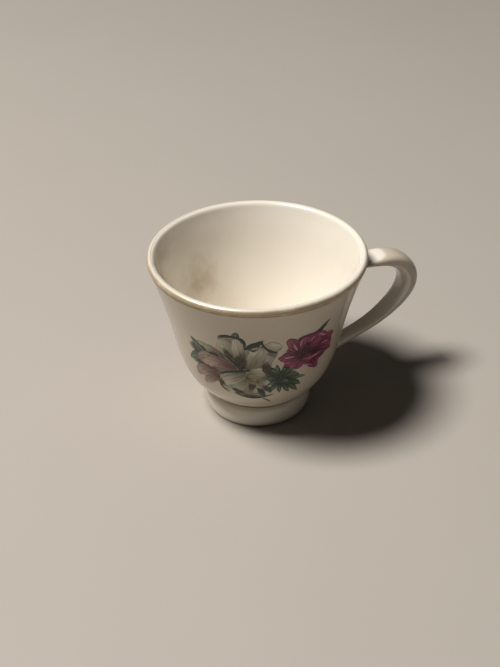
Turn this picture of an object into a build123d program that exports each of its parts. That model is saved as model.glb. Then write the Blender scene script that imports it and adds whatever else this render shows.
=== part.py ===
from build123d import *
from math import degrees
import os

# A small glazed porcelain teacup, in millimetres.
# +Z is up along the cup's own axis, z = 0 is the plane it stands on, and the handle points along +X.

os.makedirs("parts", exist_ok=True)

# ---- overall sizes -------------------------------------------------------------------------
rim_diameter = 70.0          # widest size of the mouth, over the lip
cup_height = 57.2            # table to crest of the lip
wall_thickness = 2.4         # bowl wall, below the lip
lip_thickness = 2.7          # radial width of the rounded lip
lip_rise = 1.3               # height of the rounded part of the lip

# ---- foot ----------------------------------------------------------------------------------
foot_height = 8.2            # table to the underside of the bowl's shoulder
foot_waist_radius = 16.7     # narrowest outer radius, just under the bowl
foot_bulge_radius = 17.6     # widest outer radius of the rounded ring
foot_bulge_height = 3.2
foot_base_radius = 17.0      # outer radius where the ring turns under
foot_bore_radius = 13.2      # inner radius of the ring
foot_edge_round = 0.8        # rounding on both sides of the standing edge
foot_recess_depth = 5.2      # table to the underside of the bowl, inside the ring

# ---- bowl profile --------------------------------------------------------------------------
floor_thickness = 3.4        # bowl floor, over the foot
hip_radius = 23.5            # outer radius where the bottom turns up into the wall
hip_rise = 8.0               # height of the hip above the foot
mid_bulge = 0.25             # how far the middle of the wall stands outside a straight line
lip_flare = 2.8              # how far the lip flares out past the neck
neck_drop = 9.6              # crest of the lip down to the neck, where the flare begins
floor_radius = 12.0          # flat middle of the bowl's floor

# ---- handle --------------------------------------------------------------------------------
handle_projection = 21.6     # rim to the outermost face of the handle
handle_drop = 10.7           # crest of the lip down to the middle of the upper joint
handle_bend_drop = 8.9       # upper joint down to the outermost point of the loop
handle_low_height = 14.4     # table to the middle of the lower joint
handle_run_reach = 3.7       # beyond the rim, where the top and lower runs pass it
handle_run_drop = 0.5        # how far the top run falls by there
shoulder_inset = 3.6         # loop's outermost point back to the shoulder above it
elbow_inset = 6.3            # loop's outermost point back to the elbow below it
handle_low_rise = 6.0        # lower joint up to where the lower run passes the rim
handle_low_dip = 1.6         # how far the lower run aims below its joint, inside the wall
strap_top_thickness = 3.2
strap_shoulder_thickness = 3.3  # half way along the top run
strap_bend_thickness = 6.0   # the strap is thickest at the outside of the loop
strap_elbow_thickness = 3.8  # where the loop turns in to the lower run
strap_run_thickness = 2.8    # half way down the lower run
strap_low_thickness = 2.4
strap_top_width = 9.2
strap_shoulder_width = 9.0
strap_bend_width = 8.4
strap_elbow_width = 7.1
strap_run_width = 5.8
strap_low_width = 4.8
strap_edge_share = 0.47      # rounding of the strap's edges, of its thickness

# ---- joints and fired decoration -----------------------------------------------------------
slip_gap = 0.4               # clay slip between two luted faces
slip_collar = 0.8            # how far the slip is smeared out around the strap
slip_height = 1.1            # how far the slip climbs up the strap
gilding_thickness = 0.12
gilding_drop = 2.7           # depth of the gilded band below the crest
decal_thickness = 0.15

# ---- decoration: two flowers on the front, to the left of the handle -------------------------
white_flower_angle = 238.0   # about +Z, from the handle
white_flower_size = 12.5     # radius over the petals
magenta_flower_size = 8.5
magenta_flower_rise = 4.5    # how far its eye stands above the white flower's
flower_gap = 0.5             # bare wall between the two flowers

# ---- values worked out from the sizes --------------------------------------------------------
rim_radius = rim_diameter / 2
lip_base_height = cup_height - lip_rise
neck_radius = rim_radius - lip_flare
neck_height = cup_height - neck_drop
hip_height = foot_height + hip_rise
mid_height = (hip_height + neck_height) / 2
mid_radius = (hip_radius + neck_radius) / 2 + mid_bulge
floor_height = foot_recess_depth + floor_thickness
gilding_foot = cup_height - gilding_drop
white_flower_height = (foot_height + gilding_foot) / 2
magenta_flower_height = white_flower_height + magenta_flower_rise
flower_spacing = white_flower_size + flower_gap + magenta_flower_size
magenta_flower_angle = white_flower_angle + degrees(flower_spacing / mid_radius)


def wall_stations(inset):
    """Points up the wall, a given distance inside the outer surface, from the hip to the neck."""
    return [
        (hip_radius - inset, hip_height + inset / 2),
        (mid_radius - inset, mid_height),
        (neck_radius - inset, neck_height),
    ]


def outer_wall(grown):
    """The outer wall from the foot's waist to the base of the lip, grown outwards."""
    points = [(foot_waist_radius + grown, foot_height)] + wall_stations(-grown)
    return Spline(*points, (rim_radius + grown, lip_base_height))


# ---- the bowl's outside, filled, which every attached piece is cut to ------------------------
def filled_outside(grown):
    """A solid of the bowl's outer shape, grown by a skin's thickness."""
    with BuildPart(mode=Mode.PRIVATE) as solid:
        with BuildSketch(Plane.XZ):
            with BuildLine():
                wall = outer_wall(grown)
                Polyline(wall @ 0, (0, foot_height), (0, cup_height), (rim_radius - 2, cup_height))
                Line((rim_radius - 2, cup_height), wall @ 1)
            make_face()
        revolve(axis=Axis.Z)
    return solid.part


bowl_outside = filled_outside(0)

# ---- bowl: jiggered body with a boss underneath that centres the foot ring -------------------
with BuildPart() as bowl:
    with BuildSketch(Plane.XZ):
        with BuildLine():
            wall = outer_wall(0)
            lip_inside = (rim_radius - lip_thickness, lip_base_height)
            ThreePointArc(wall @ 1, (rim_radius - lip_thickness / 2, cup_height), lip_inside)
            inside = [(floor_radius, floor_height)] + wall_stations(wall_thickness)
            flare = (lip_flare, lip_base_height - neck_height)
            Spline(*inside, lip_inside, tangents=[(1, 0), flare])
            boss_radius = foot_bore_radius - slip_gap
            Polyline(
                (floor_radius, floor_height),
                (0, floor_height),
                (0, foot_recess_depth),
                (boss_radius, foot_recess_depth),
                (boss_radius, foot_height),
                wall @ 0,
            )
        make_face()
    revolve(axis=Axis.Z)
bowl.part.label = "bowl"
export_step(bowl.part, "parts/bowl.step")

# ---- foot ring: turned ring with a rounded outside -------------------------------------------
foot_top = foot_height - slip_gap
with BuildPart() as foot_ring:
    with BuildSketch(Plane.XZ) as foot_section:
        with BuildLine():
            Spline(
                (foot_base_radius, foot_edge_round),
                (foot_bulge_radius, foot_bulge_height),
                (foot_waist_radius, foot_top),
            )
            Polyline(
                (foot_waist_radius, foot_top),
                (foot_bore_radius, foot_top),
                (foot_bore_radius, 0),
                (foot_base_radius, 0),
                (foot_base_radius, foot_edge_round),
            )
        make_face()
        standing_edge = foot_section.vertices().group_by(Axis.Y)[0]
        fillet(standing_edge, radius=foot_edge_round * 0.9)
    revolve(axis=Axis.Z)
foot_ring.part.label = "foot_ring"
export_step(foot_ring.part, "parts/foot_ring.step")

# ---- foot slip joint: the layer of slip that bedded the ring on the bowl ---------------------
with BuildPart() as foot_slip_joint:
    with BuildSketch(Plane.XZ):
        with BuildLine():
            slip_foot = foot_top - 2 * slip_gap
            Polyline(
                (foot_waist_radius, foot_top),
                (foot_bore_radius, foot_top),
                (foot_bore_radius, slip_foot),
                (boss_radius, slip_foot),
                (boss_radius, foot_height),
                (foot_waist_radius, foot_height),
            )
            bead = (foot_waist_radius + slip_gap / 4, (foot_top + foot_height) / 2)
            ThreePointArc((foot_waist_radius, foot_height), bead, (foot_waist_radius, foot_top))
        make_face()
    revolve(axis=Axis.Z)
foot_slip_joint.part.label = "foot_slip_joint"
export_step(foot_slip_joint.part, "parts/foot_slip_joint.step")

# ---- handle: a flat strap bent into a loop, cut to stand one slip gap off the wall -----------
handle_top = cup_height - handle_drop
loop_radius = rim_radius + handle_projection - strap_bend_thickness / 2
bend_height = handle_top - handle_bend_drop
low_run_height = handle_low_height + handle_low_rise
elbow_height = low_run_height + (bend_height - low_run_height) / 3
with BuildLine(Plane.XZ) as handle_path:
    Spline(
        (neck_radius - 2 * wall_thickness, handle_top),
        (rim_radius + handle_run_reach, handle_top - handle_run_drop),
        (loop_radius - shoulder_inset, handle_top - handle_bend_drop / 3),
        (loop_radius, bend_height),
        (loop_radius - elbow_inset, elbow_height),
        (rim_radius + handle_run_reach, low_run_height),
        (hip_radius - wall_thickness, handle_low_height - handle_low_dip),
    )
strap_sections = [
    (0, strap_top_thickness, strap_top_width),
    (0.19, strap_shoulder_thickness, strap_shoulder_width),
    (0.4, strap_bend_thickness, strap_bend_width),
    (0.6, strap_elbow_thickness, strap_elbow_width),
    (0.8, strap_run_thickness, strap_run_width),
    (1, strap_low_thickness, strap_low_width),
]


def strap(extra):
    """The strap before it is cut to the bowl, made larger all round by extra."""
    with BuildPart(mode=Mode.PRIVATE) as loop:
        with BuildLine(Plane.XZ):
            add(handle_path.line)
        for place, thickness, width in strap_sections:
            with BuildSketch(handle_path.line ^ place):
                corner = strap_edge_share * thickness + extra
                RectangleRounded(thickness + 2 * extra, width + 2 * extra, radius=corner)
        sweep(multisection=True)
    return loop.part


with BuildPart() as handle:
    add(strap(0))
    add(filled_outside(slip_gap), mode=Mode.SUBTRACT)
handle.part.label = "handle"
export_step(handle.part, "parts/handle.step")

# ---- handle slip joints: slip under each end of the strap, smeared out into a collar ---------
with BuildPart() as slip_layer:
    add(strap(slip_collar))
    add(filled_outside(slip_height), mode=Mode.INTERSECT)
    add(bowl_outside, mode=Mode.SUBTRACT)
    add(handle.part, mode=Mode.SUBTRACT)
collars = slip_layer.solids().sort_by(Axis.Z)

with BuildPart() as handle_lower_slip_joint:
    add(collars[0])
handle_lower_slip_joint.part.label = "handle_lower_slip_joint"
export_step(handle_lower_slip_joint.part, "parts/handle_lower_slip_joint.step")

with BuildPart() as handle_upper_slip_joint:
    add(collars[-1])
handle_upper_slip_joint.part.label = "handle_upper_slip_joint"
export_step(handle_upper_slip_joint.part, "parts/handle_upper_slip_joint.step")


# ---- rim gilding: a thin fired band from the crest of the lip down its outside ----------------
def lip_section(grown):
    """The upper wall and the lip in section, grown outwards by a skin's thickness."""
    lip_inside = rim_radius - lip_thickness - grown
    with BuildSketch(mode=Mode.PRIVATE) as section:
        with BuildLine():
            wall = outer_wall(grown)
            crest = (rim_radius - lip_thickness / 2, cup_height + grown)
            ThreePointArc(wall @ 1, crest, (lip_inside, lip_base_height))
            Polyline((lip_inside, lip_base_height), (0, lip_base_height), (0, foot_height), wall @ 0)
        make_face()
    return section.sketch


with BuildPart() as rim_gilding:
    with BuildSketch(Plane.XZ):
        add(lip_section(gilding_thickness))
        add(lip_section(0), mode=Mode.SUBTRACT)
        with Locations((rim_radius - lip_thickness / 2, gilding_foot)):
            band = (lip_thickness, gilding_drop + lip_rise)
            Rectangle(*band, align=(Align.MIN, Align.MIN), mode=Mode.INTERSECT)
    revolve(axis=Axis.Z)
rim_gilding.part.label = "rim_gilding"
export_step(rim_gilding.part, "parts/rim_gilding.step")


# ---- fired decals: lobed patches of a thin skin on the outer wall -----------------------------
def decal(angle, height, outline):
    """A skin on the wall in the outline of a sketch, seen square on at an angle about +Z."""
    facing = Plane.XZ.rotated((0, 0, angle + 90)).offset(hip_radius / 2)
    with BuildPart(mode=Mode.PRIVATE) as patch:
        with BuildSketch(facing):
            with Locations((0, height)):
                add(outline)
        extrude(amount=rim_diameter)
        add(filled_outside(decal_thickness), mode=Mode.INTERSECT)
        add(bowl_outside, mode=Mode.SUBTRACT)
    return patch.part


def blossom(size, petals, leaves):
    """The outline of an open flower: round petals about its eye, and leaves between them."""
    with BuildSketch(mode=Mode.PRIVATE) as flower:
        Circle(size * 0.55)
        with PolarLocations(size * 0.55, petals):
            Circle(size * 0.45)
        for direction in leaves:
            with Locations(Location((0, 0), direction)):
                with Locations((size * 0.95, 0)):
                    Ellipse(size * 0.45, size * 0.22)
    return flower.sketch


white_flower = blossom(white_flower_size, 5, (150, 215, 275, 320))
with BuildPart() as white_flower_decal:
    add(decal(white_flower_angle, white_flower_height, white_flower))
white_flower_decal.part.label = "white_flower_decal"
export_step(white_flower_decal.part, "parts/white_flower_decal.step")

magenta_flower = blossom(magenta_flower_size, 6, (60,))
with BuildPart() as magenta_flower_decal:
    add(decal(magenta_flower_angle, magenta_flower_height, magenta_flower))
magenta_flower_decal.part.label = "magenta_flower_decal"
export_step(magenta_flower_decal.part, "parts/magenta_flower_decal.step")
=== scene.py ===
"""A porcelain teacup with two fired flowers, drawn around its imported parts, all in metres."""
import math

import bmesh
import bpy
import numpy
from bpy.props import FloatProperty, FloatVectorProperty, IntProperty, PointerProperty
from mathutils import Matrix, Vector
from mathutils.bvhtree import BVHTree


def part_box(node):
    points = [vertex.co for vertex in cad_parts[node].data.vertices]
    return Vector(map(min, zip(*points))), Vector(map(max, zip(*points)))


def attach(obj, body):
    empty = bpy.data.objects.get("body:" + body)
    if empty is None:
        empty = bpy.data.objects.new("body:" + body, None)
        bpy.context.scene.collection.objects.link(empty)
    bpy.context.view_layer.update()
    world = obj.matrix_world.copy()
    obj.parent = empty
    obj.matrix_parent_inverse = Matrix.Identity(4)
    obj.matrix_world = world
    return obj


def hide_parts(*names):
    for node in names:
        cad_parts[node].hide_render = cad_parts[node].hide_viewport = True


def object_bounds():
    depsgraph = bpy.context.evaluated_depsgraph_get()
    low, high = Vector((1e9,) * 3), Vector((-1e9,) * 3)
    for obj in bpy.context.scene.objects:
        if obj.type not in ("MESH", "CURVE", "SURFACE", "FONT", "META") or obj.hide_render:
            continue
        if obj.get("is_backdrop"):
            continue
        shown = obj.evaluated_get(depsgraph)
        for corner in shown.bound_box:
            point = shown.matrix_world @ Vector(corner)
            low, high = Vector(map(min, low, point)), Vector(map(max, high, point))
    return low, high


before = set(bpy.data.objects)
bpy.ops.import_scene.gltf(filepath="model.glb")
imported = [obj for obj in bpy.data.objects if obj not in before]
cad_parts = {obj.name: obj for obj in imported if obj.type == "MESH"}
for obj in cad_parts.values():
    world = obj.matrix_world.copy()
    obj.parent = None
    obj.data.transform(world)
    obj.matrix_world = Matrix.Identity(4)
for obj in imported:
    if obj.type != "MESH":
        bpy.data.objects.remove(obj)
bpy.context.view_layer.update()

bl_info = {
    "name": "Porcelain teacup",
    "version": (1, 0, 0),
    "blender": (4, 5, 0),
    "location": "3D View > Sidebar > Teacup",
    "description": "Makes a glazed teacup with a gilded rim and two fired flowers",
    "category": "Add Mesh",
}

MM = 0.001
WELD = 1e-7          # points nearer than this are one point
CUT = 1e-6           # a point this near a cutting plane lies on it
SUNK = 0.02 * MM     # how far an added piece's edge sits in what it is laid on
CUP_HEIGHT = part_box("bowl")[1].z
MADE = {}            # what the bowl leaves for later pieces: its wall and its tree of faces


# ---- sizes and colours a user may change
def length(name, description, millimetres):
    """A length in metres, given in millimetres."""
    return FloatProperty(
        name=name, description=description, default=millimetres * MM,
        min=0.0, subtype="DISTANCE", unit="LENGTH", precision=5,
    )


def bearing(name, description, degrees):
    """An angle in radians, given in degrees."""
    return FloatProperty(
        name=name, description=description, default=math.radians(degrees),
        subtype="ANGLE", unit="ROTATION",
    )


def colour(name, description, *rgb):
    """A colour in linear light."""
    return FloatVectorProperty(
        name=name, description=description, default=rgb, min=0.0, max=1.0, subtype="COLOR",
    )


class TeacupSizes(bpy.types.PropertyGroup):
    """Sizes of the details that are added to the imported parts."""

    turns: IntProperty(
        name="Turns", description="Points round the bowl", default=288, min=32)
    foot_turns: IntProperty(
        name="Foot turns", description="Points round the foot", default=200, min=32)
    outline_step: length("Outline step", "Distance between points up the bowl's outline", 0.42)
    kiln_pull: length("Kiln pull", "How far the rim is out of round", 0.12)
    kiln_sag: length("Kiln sag", "How far the rim is out of level", 0.10)
    foot_fillet: length("Foot fillet", "Height of the glaze bead between bowl and foot", 0.9)
    root_fillet: length("Handle fillet", "Reach of the slip fillet round each handle end", 1.5)
    band_lift: length("Band lift", "How far the gilded band stands off the glaze", 0.04)
    paint_lift: length("Paint lift", "How far the lowest fired colour stands off the glaze", 0.03)
    paint_step: length("Paint step", "Thickness of one layer of fired colour", 0.014)
    white_flower_angle: bearing(
        "White flower", "Where the white flower sits, round from the handle", 238.0)
    magenta_flower_angle: bearing(
        "Magenta flower", "Where the magenta flower sits, round from the handle", 281.8)
    magenta_flower_rise: length(
        "Magenta rise", "How far the magenta flower sits above the white one", 4.5)


class TeacupColours(bpy.types.PropertyGroup):
    """Colours of the glaze, the gilding and the fired flowers."""

    glaze: colour("Glaze", "Clean glaze over the porcelain", 0.88, 0.835, 0.76)
    # Painted shade: a darker copy of the glaze, taken by the outward faces of the bowl and the
    # handle
    shaded_outside: colour("Shaded outside glaze", "Glaze painted darker as shade on the outside of the bowl", 0.64, 0.575, 0.48)
    # Partly glaze pooled at the foot, partly painted shade in the hollow between the bowl and the
    # foot
    pool_and_shade: colour("Pooled and shaded glaze", "Thick glaze and painted shade, at the foot", 0.66, 0.60, 0.49)
    clay: colour("Bare clay", "Unglazed standing edge", 0.56, 0.47, 0.36)
    tea: colour("Tea stain", "Tannin left on the inside", 0.36, 0.265, 0.11)
    gilding: colour("Gilding", "Fired gold, rubbed dull", 0.50, 0.385, 0.235)
    worn: colour("Worn band", "Band where the gold has gone", 0.60, 0.52, 0.41)
    white: colour("White petals", "Body of the white petals", 0.66, 0.63, 0.52)
    petal_grey: colour("Petal shade", "Olive grey at the petals' roots", 0.20, 0.185, 0.115)
    wash: colour("Wash", "Thin grey laid under the whole flower", 0.36, 0.335, 0.24)
    umber: colour("Umber", "Dark folds between the petals", 0.095, 0.080, 0.048)
    pink: colour("Pink petals", "Body of the pink petals", 0.52, 0.41, 0.345)
    russet: colour("Russet", "Edges and freckles of the pink petals", 0.19, 0.075, 0.065)
    leaf: colour("Leaf", "Light side of the leaves", 0.12, 0.20, 0.125)
    leaf_dark: colour("Leaf shade", "Dark side of the leaves", 0.035, 0.055, 0.035)
    ochre: colour("Ochre", "Stamens of the white flower", 0.43, 0.36, 0.20)
    magenta: colour("Magenta petals", "Body of the magenta petals", 0.36, 0.052, 0.135)
    petal_rim: colour("Petal rim", "Lighter edges of the magenta petals", 0.47, 0.13, 0.25)
    rose: colour("Rose", "Light streaks on the magenta petals", 0.66, 0.29, 0.44)
    maroon: colour("Maroon", "Eye of the magenta flower", 0.085, 0.012, 0.030)
    floor: colour("Floor", "Plain pale floor", 0.50, 0.465, 0.425)


class TeacupStage(bpy.types.PropertyGroup):
    """The camera and the lights."""

    lens: FloatProperty(
        name="Lens", description="Focal length in millimetres", default=64.77, min=1.0)
    distance: length("Distance", "From the camera to what it aims at", 395.5)
    azimuth: bearing("Azimuth", "Camera's turn about the cup, from the front", -20.0)
    elevation: bearing("Elevation", "Camera's height above the horizon", 34.03)
    roll: bearing("Roll", "Camera's turn about its own line of sight", -0.51)
    aim: FloatVectorProperty(
        name="Aim", description="Point the camera looks at", subtype="TRANSLATION",
        unit="LENGTH", default=(-2.33 * MM, 0.85 * MM, 25.86 * MM), precision=5)
    key_power: FloatProperty(
        name="Key power", description="Watts of the soft key light", default=32.0, min=0.0)
    key_size: length("Key size", "Width of the soft key light", 500.0)
    key_distance: length("Key distance", "From the key light to the cup", 1600.0)
    key_elevation: bearing("Key elevation", "Key light's height above the horizon", 64.0)
    key_azimuth: bearing("Key azimuth", "Key light's turn about the cup, from the front", -98.0)
    fill: FloatProperty(
        name="Fill", description="Strength of the even light from all round",
        default=0.046, min=0.0)
    backdrop: FloatProperty(
        name="Backdrop", description="Brightness of what shows past the floor's edge",
        default=0.75, min=0.0)
    floor_radius: length("Floor radius", "From the cup to the floor's edge", 1400.0)


# ---- shader maths
class Value:
    """A shader socket that adds Math nodes when it takes part in Python arithmetic."""

    def __init__(self, finish, socket):
        self.finish, self.socket = finish, socket

    def maths(self, operation, *values):
        """The result of a Math node that takes these values."""
        return self.finish.node("ShaderNodeMath", {"operation": operation}, dict(enumerate(values)))

    def __add__(self, other):
        return self.maths("ADD", self, other)

    def __radd__(self, other):
        return self.maths("ADD", other, self)

    def __sub__(self, other):
        return self.maths("SUBTRACT", self, other)

    def __rsub__(self, other):
        return self.maths("SUBTRACT", other, self)

    def __mul__(self, other):
        return self.maths("MULTIPLY", self, other)

    def __rmul__(self, other):
        return self.maths("MULTIPLY", other, self)

    def __truediv__(self, other):
        return self.maths("DIVIDE", self, other)

    def __abs__(self):
        return self.maths("ABSOLUTE", self)

    def peak(self, other):
        """The larger of two values."""
        return self.maths("MAXIMUM", self, other)


def rgba(paint):
    """A colour as a socket takes it: a linked one as it is, a plain one with its alpha."""
    return paint if isinstance(paint, Value) else (*paint, 1.0)


class Finish:
    """A material being built, with one method that adds any node."""

    def __init__(self, name):
        self.material = bpy.data.materials.new(name)
        self.material.use_nodes = True
        self.tree = self.material.node_tree
        self.tree.nodes.clear()
        self.place = self.node("ShaderNodeTexCoord", output="Object")

    def node(self, kind, settings=None, sockets=None, output=0):
        """Adds a node: its settings first, then the values or links of its sockets."""
        made = self.tree.nodes.new(kind)
        for name, value in (settings or {}).items():
            setattr(made, name, value)
        for name, value in (sockets or {}).items():
            if isinstance(value, Value):
                self.tree.links.new(value.socket, made.inputs[name])
            else:
                made.inputs[name].default_value = value
        return Value(self, made.outputs[output]) if made.outputs else None

    def step(self, value, low, high):
        """0 below low, 1 above high and a soft slope between; low may be the larger."""
        if low > high:
            return 1 - self.step(value, high, low)
        return self.node(
            "ShaderNodeMapRange", {"interpolation_type": "SMOOTHSTEP"},
            {0: value, 1: low, 2: high})

    def mix(self, share, first, second):
        """A colour between two others, by a share from 0 to 1."""
        sockets = {0: share, 6: rgba(first), 7: rgba(second)}
        return self.node("ShaderNodeMix", {"data_type": "RGBA"}, sockets, output=2)

    def shade(self, paint, amount):
        """A colour made lighter or darker by a factor."""
        grey = self.node("ShaderNodeCombineXYZ", sockets={0: amount, 1: amount, 2: amount})
        settings = {"data_type": "RGBA", "blend_type": "MULTIPLY"}
        return self.node(
            "ShaderNodeMix", settings, {0: 1.0, 6: rgba(paint), 7: grey}, output=2)

    def noise(self, size, detail=3.0, rough=0.55, where=None, warp=0.0):
        """Cloudy noise whose blotches are about a given size across, from 0 to 1."""
        sockets = {"Scale": 1.0 / size, "Detail": detail, "Roughness": rough, "Distortion": warp}
        sockets["Vector"] = where or self.place
        return self.node("ShaderNodeTexNoise", sockets=sockets)

    def cells(self, size, feature="F1"):
        """Distance from the middles, or the edges, of cells about a given size across."""
        return self.node(
            "ShaderNodeTexVoronoi", {"feature": feature},
            {"Vector": self.place, "Scale": 1 / size}, output="Distance")

    def attribute(self, name):
        """A number kept at the mesh's points."""
        return self.node("ShaderNodeAttribute", {"attribute_name": name}, output="Fac")

    def vector(self, operation, first, second=None, output="Vector"):
        """The result of a Vector Math node."""
        sockets = {0: first} if second is None else {0: first, 1: second}
        return self.node(
            "ShaderNodeVectorMath", {"operation": operation}, sockets, output=output)

    def inside(self):
        """1 on the faces that look towards the cup's axis, 0 on those that look away."""
        facing = self.node("ShaderNodeTexCoord", output="Normal")
        flat = self.vector("MULTIPLY", self.place, (1, 1, 0))
        dot = self.vector("DOT_PRODUCT", flat, facing, output="Value")
        return self.step(dot, 2 * MM, -2 * MM)

    def axis(self, index):
        """One coordinate of the place: X, Y or Z."""
        return self.node("ShaderNodeSeparateXYZ", sockets={0: self.place}, output=index)

    def away(self, centre, stretch=(1.0, 1.0, 1.0)):
        """Distance from a point, measured longer along the axes with a stretch."""
        moved = self.vector("SUBTRACT", self.place, centre)
        scaled = self.vector("MULTIPLY", moved, stretch)
        return self.vector("LENGTH", scaled, output="Value")

    def bump(self, height, depth):
        """A normal tilted as if the surface stood up by a height from 0 to 1 times a depth."""
        sockets = {"Height": height, "Strength": 1.0, "Distance": depth}
        return self.node("ShaderNodeBump", sockets=sockets)

    def done(self, **sockets):
        """Ends the material in a Principled shader with these sockets."""
        named = {name.replace("_", " "): value for name, value in sockets.items()}
        shader = self.node("ShaderNodeBsdfPrincipled", sockets=named)
        self.node("ShaderNodeOutputMaterial", sockets={"Surface": shader})
        return self.material


# ---- mesh tools
KILN_LOBES = ((1.0, 2, 0.6), (0.5, 3, 2.0))  # pulls round the rim: strength, count, turn
KILN_LEAN = 1.1                              # turn of the rim's high side
KILN_STILL = 10 * MM                         # inside this radius the ware is pulled less


def fired(point, sizes):
    """A point moved as thin ware moves in the kiln: a little out of round and out of level."""
    radius = math.hypot(point.x, point.y)
    if radius < WELD:
        return Vector(point)
    angle = math.atan2(point.y, point.x)
    rise = max(0.0, point.z / CUP_HEIGHT)
    lobes = sum(strength * math.sin(count * angle + turn) for strength, count, turn in KILN_LOBES)
    grown = 1 + sizes.kiln_pull * rise * lobes * min(1.0, radius / KILN_STILL) / radius
    sag = sizes.kiln_sag * rise * rise * math.sin(angle + KILN_LEAN)
    return Vector((point.x * grown, point.y * grown, point.z + sag))


def skin(name, rows, closed=True):
    """A mesh through rings of points; the last ring joins the first one if it is closed."""
    count = len(rows[0])
    faces = []
    for row in range(len(rows) if closed else len(rows) - 1):
        here, there = row * count, (row + 1) % len(rows) * count
        for column in range(count):
            beside = (column + 1) % count
            faces.append((here + column, here + beside, there + beside, there + column))
    mesh = bpy.data.meshes.new(name)
    mesh.from_pydata([point for row in rows for point in row], [], faces)
    return mesh


def fired_skin(name, rows, sizes, closed=True):
    """The same through points moved by the kiln."""
    return skin(name, [[fired(point, sizes) for point in row] for row in rows], closed)


def cleaned(mesh):
    """Welds a closed mesh's poles and turns its faces outwards."""
    work = bmesh.new()
    work.from_mesh(mesh)
    bmesh.ops.remove_doubles(work, verts=work.verts, dist=WELD)
    bmesh.ops.dissolve_degenerate(work, edges=work.edges, dist=WELD)
    bmesh.ops.recalc_face_normals(work, faces=work.faces)
    work.to_mesh(mesh)
    work.free()
    return mesh


def shown(data):
    """A new object that shows a mesh, a camera or a light."""
    made = bpy.data.objects.new(data.name, data)
    bpy.context.scene.collection.objects.link(made)
    return made


def place_piece(mesh, material, slot, *nodes):
    """Shows a mesh as one piece of the cup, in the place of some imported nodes."""
    piece = shown(mesh)
    mesh.shade_smooth()
    mesh.materials.append(material)
    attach(piece, "root")
    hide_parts(*nodes)


def half_section(node_name):
    """A turned node's outline through its axis, as (radius, height) points in order."""
    cut = bmesh.new()
    cut.from_mesh(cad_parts[node_name].data)
    bmesh.ops.remove_doubles(cut, verts=cut.verts, dist=WELD)
    for normal, both_sides in (((0, 1, 0), True), ((1, 0, 0), False)):
        bmesh.ops.bisect_plane(
            cut, geom=cut.verts[:] + cut.edges[:] + cut.faces[:], dist=CUT,
            plane_co=(0, 0, 0), plane_no=normal, clear_inner=both_sides, clear_outer=True,
        )
    loose = [vertex for vertex in cut.verts if len(vertex.link_edges) == 1]
    walk = [max(loose or cut.verts, key=lambda vertex: vertex.co.z)]
    seen = set(walk)
    while True:
        onward = [edge.other_vert(walk[-1]) for edge in walk[-1].link_edges]
        onward = [vertex for vertex in onward if vertex not in seen]
        if not onward:
            break
        walk.append(onward[0])
        seen.add(onward[0])
    outline = [Vector((max(0.0, -vertex.co.x), vertex.co.z)) for vertex in walk]
    cut.free()
    return outline


CORNER = math.radians(28)  # a line that turns more than this has a corner


def even(points, step):
    """The points of a line set again at an even step."""
    runs = [(b - a).length for a, b in zip(points, points[1:])]
    places = numpy.cumsum([0.0, *runs])
    goals = numpy.linspace(0, places[-1], max(2, round(places[-1] / step)) + 1)
    return [Vector(point) for point in zip(
        *(numpy.interp(goals, places, numbers) for numbers in zip(*points)))]


def eased(points, passes, sharp=CORNER):
    """A line smoothed a little, with its ends and its sharp corners left where they are."""
    def turn(before, here, after):
        return (here - before).angle(after - here, 0.0)

    inner = [turn(*points[i - 1:i + 2]) > sharp for i in range(1, len(points) - 1)]
    held = [True, *inner, True]
    for _ in range(passes):
        points = [
            point if stay else (points[i - 1] + 2 * point + points[i + 1]) / 4
            for i, (point, stay) in enumerate(zip(points, held))
        ]
    return points


def turned(outline, turns):
    """Rows of points made by turning a (radius, height) outline about the cup's axis."""
    angles = [math.tau * number / turns for number in range(turns)]
    return [
        [Vector((p.x * math.cos(a), p.x * math.sin(a), p.y)) for a in angles] for p in outline
    ]


def bent(start, corner, end, count):
    """Points on a curve that leaves start towards a corner and comes from it to end."""
    made = []
    for number in range(count + 1):
        t = number / count
        made.append(start * (1 - t) ** 2 + corner * (2 * t * (1 - t)) + end * t * t)
    return made


def curve_through(knots, count):
    """Points on a smooth curve through knots of any width (Catmull-Rom)."""
    made = []
    for number in range(count + 1):
        place = number / count * (len(knots) - 1)
        index = min(int(place), len(knots) - 2)
        t = place - index
        a, b, c, d = (knots[max(0, min(len(knots) - 1, index + k))] for k in (-1, 0, 1, 2))
        made.append(tuple(
            0.5 * (2 * q + (r - p) * t + (2 * p - 5 * q + 4 * r - s) * t * t
                   + (3 * q - p - 3 * r + s) * t ** 3)
            for p, q, r, s in zip(a, b, c, d)
        ))
    return made


class Wall:
    """The outer wall of the bowl, that colours and fillets are laid on."""

    def __init__(self, outline):
        crest = max(range(len(outline)), key=lambda i: outline[i].y)
        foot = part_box("foot_slip_joint")[1].z
        line = sorted((p.y, p.x) for p in outline[crest:] if p.y > foot)
        self.heights, self.radii = zip(*line)

    def radius(self, height):
        """The wall's radius at a height."""
        return float(numpy.interp(height, self.heights, self.radii))

    def point(self, angle, height, lift):
        """A point a little off the wall, at an angle round the cup and a height."""
        radius = self.radius(height) + lift
        return Vector((radius * math.cos(angle), radius * math.sin(angle), height))


def tree_of(mesh):
    """A mesh's faces, ready to be hit by rays."""
    return BVHTree.FromPolygons(
        [vertex.co for vertex in mesh.vertices], [face.vertices for face in mesh.polygons])


# ---- glaze, clay and gold
COAT = {"IOR": 1.5, "Coat_Roughness": 0.12}  # the clear, glassy skin that all glaze has


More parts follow.
